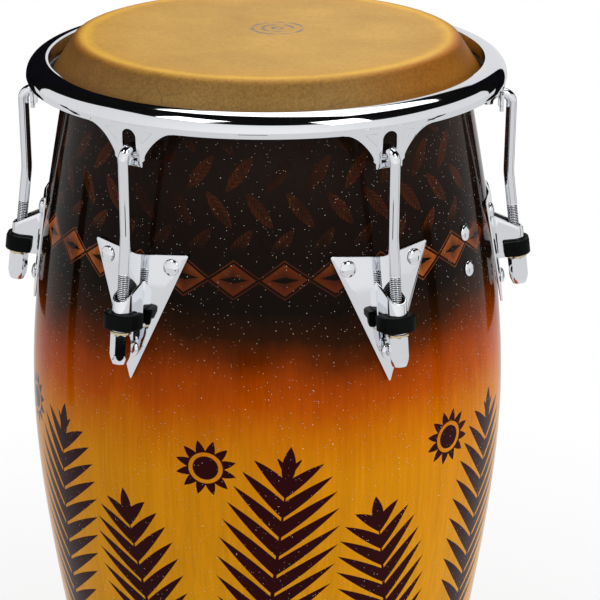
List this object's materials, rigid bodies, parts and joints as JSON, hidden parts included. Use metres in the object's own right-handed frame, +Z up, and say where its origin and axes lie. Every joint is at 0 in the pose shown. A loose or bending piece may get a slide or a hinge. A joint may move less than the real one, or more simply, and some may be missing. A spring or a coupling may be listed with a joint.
{
  "type": "conga drum",
  "caption": "Tall barrel-shaped hand drum with a lacquered sunburst shell, a rawhide head, a rolled chrome crown, hooked tuning rods and triangular side plates.",
  "frame": {"origin": "on the floor, under the middle of the rubber foot ring", "axes": "+Z up along the drum's axis; -Y is the side seen between two lugs in the picture; +X to its right"},
  "size_m": [0.4266, 0.3872, 0.762],
  "materials": {
    "lacquer": "high-gloss sunburst lacquer over wood staves, dark at the top and amber below",
    "rawhide": "matt tan rawhide",
    "chrome": "polished chrome plate on steel",
    "zinc": "zinc plated steel",
    "brass": "yellow zinc washer",
    "rubber": "matt black rubber"
  },
  "bodies": {
    "root": {"shell": "lacquer", "rubber_foot": "rubber", "flesh_hoop": "zinc", "head_skin": "rawhide", "inner_strap": "zinc", "stud_bolt_upper": "chrome", "stud_bolt_lower": "chrome", "side_plate_1": "chrome", "plate_bolt_1_left": "chrome", "plate_bolt_1_right": "chrome", "plate_bolt_1_low": "chrome", "rubber_bumper_1": "rubber", "nut_washer_1": "brass", "side_plate_2": "chrome", "plate_bolt_2_left": "chrome", "plate_bolt_2_right": "chrome", "plate_bolt_2_low": "chrome", "rubber_bumper_2": "rubber", "nut_washer_2": "brass", "side_plate_3": "chrome", "plate_bolt_3_left": "chrome", "plate_bolt_3_right": "chrome", "plate_bolt_3_low": "chrome", "rubber_bumper_3": "rubber", "nut_washer_3": "brass", "side_plate_4": "chrome", "plate_bolt_4_left": "chrome", "plate_bolt_4_right": "chrome", "plate_bolt_4_low": "chrome", "rubber_bumper_4": "rubber", "nut_washer_4": "brass", "side_plate_5": "chrome", "plate_bolt_5_left": "chrome", "plate_bolt_5_right": "chrome", "plate_bolt_5_low": "chrome", "rubber_bumper_5": "rubber", "nut_washer_5": "brass", "side_plate_6": "chrome", "plate_bolt_6_left": "chrome", "plate_bolt_6_right": "chrome", "plate_bolt_6_low": "chrome", "rubber_bumper_6": "rubber", "nut_washer_6": "brass"},
    "crown": {"crown": "chrome"},
    "rod_1": {"tension_rod_1": "chrome"},
    "nut_1": {"tuning_nut_1": "chrome"},
    "rod_2": {"tension_rod_2": "chrome"},
    "nut_2": {"tuning_nut_2": "chrome"},
    "rod_3": {"tension_rod_3": "chrome"},
    "nut_3": {"tuning_nut_3": "chrome"},
    "rod_4": {"tension_rod_4": "chrome"},
    "nut_4": {"tuning_nut_4": "chrome"},
    "rod_5": {"tension_rod_5": "chrome"},
    "nut_5": {"tuning_nut_5": "chrome"},
    "rod_6": {"tension_rod_6": "chrome"},
    "nut_6": {"tuning_nut_6": "chrome"}
  },
  "joints": [
    {"name": "crown_lift", "type": "slide", "parent": "root", "child": "crown", "axis": [0, 0, 1], "range_m": [0, 0.007]},
    {"name": "rod_1_slide", "type": "slide", "parent": "root", "child": "rod_1", "axis": [-0.0664, 0.1151, 0.9911], "range_m": [0, 0.0072]},
    {"name": "nut_1_spin", "type": "hinge", "parent": "root", "child": "nut_1", "pos_m": [0.10077, -0.17454, 0.588], "axis": [-0.0664, 0.1151, 0.9911], "range_deg": [-1820, 0]},
    {"name": "rod_2_slide", "type": "slide", "parent": "root", "child": "rod_2", "axis": [-0.1329, 0, 0.9911], "range_m": [0, 0.0072]},
    {"name": "nut_2_spin", "type": "hinge", "parent": "root", "child": "nut_2", "pos_m": [0.20154, 0, 0.588], "axis": [-0.1329, 0, 0.9911], "range_deg": [-1820, 0]},
    {"name": "rod_3_slide", "type": "slide", "parent": "root", "child": "rod_3", "axis": [-0.0664, -0.1151, 0.9911], "range_m": [0, 0.0072]},
    {"name": "nut_3_spin", "type": "hinge", "parent": "root", "child": "nut_3", "pos_m": [0.10077, 0.17454, 0.588], "axis": [-0.0664, -0.1151, 0.9911], "range_deg": [-1820, 0]},
    {"name": "rod_4_slide", "type": "slide", "parent": "root", "child": "rod_4", "axis": [0.0664, -0.1151, 0.9911], "range_m": [0, 0.0072]},
    {"name": "nut_4_spin", "type": "hinge", "parent": "root", "child": "nut_4", "pos_m": [-0.10077, 0.17454, 0.588], "axis": [0.0664, -0.1151, 0.9911], "range_deg": [-1820, 0]},
    {"name": "rod_5_slide", "type": "slide", "parent": "root", "child": "rod_5", "axis": [0.1329, 0, 0.9911], "range_m": [0, 0.0072]},
    {"name": "nut_5_spin", "type": "hinge", "parent": "root", "child": "nut_5", "pos_m": [-0.20154, 0, 0.588], "axis": [0.1329, 0, 0.9911], "range_deg": [-1820, 0]},
    {"name": "rod_6_slide", "type": "slide", "parent": "root", "child": "rod_6", "axis": [0.0664, 0.1151, 0.9911], "range_m": [0, 0.0072]},
    {"name": "nut_6_spin", "type": "hinge", "parent": "root", "child": "nut_6", "pos_m": [-0.10077, -0.17454, 0.588], "axis": [0.0664, 0.1151, 0.9911], "range_deg": [-1820, 0]}
  ],
  "couplings": [
    {"joint": "rod_1_slide", "follows": "crown_lift", "ratio": 1.0089},
    {"joint": "nut_1_spin", "follows": "crown_lift", "rad_per_m": -4492.8},
    {"joint": "rod_2_slide", "follows": "crown_lift", "ratio": 1.0089},
    {"joint": "nut_2_spin", "follows": "crown_lift", "rad_per_m": -4492.8},
    {"joint": "rod_3_slide", "follows": "crown_lift", "ratio": 1.0089},
    {"joint": "nut_3_spin", "follows": "crown_lift", "rad_per_m": -4492.8},
    {"joint": "rod_4_slide", "follows": "crown_lift", "ratio": 1.0089},
    {"joint": "nut_4_spin", "follows": "crown_lift", "rad_per_m": -4492.8},
    {"joint": "rod_5_slide", "follows": "crown_lift", "ratio": 1.0089},
    {"joint": "nut_5_spin", "follows": "crown_lift", "rad_per_m": -4492.8},
    {"joint": "rod_6_slide", "follows": "crown_lift", "ratio": 1.0089},
    {"joint": "nut_6_spin", "follows": "crown_lift", "rad_per_m": -4492.8}
  ]
}
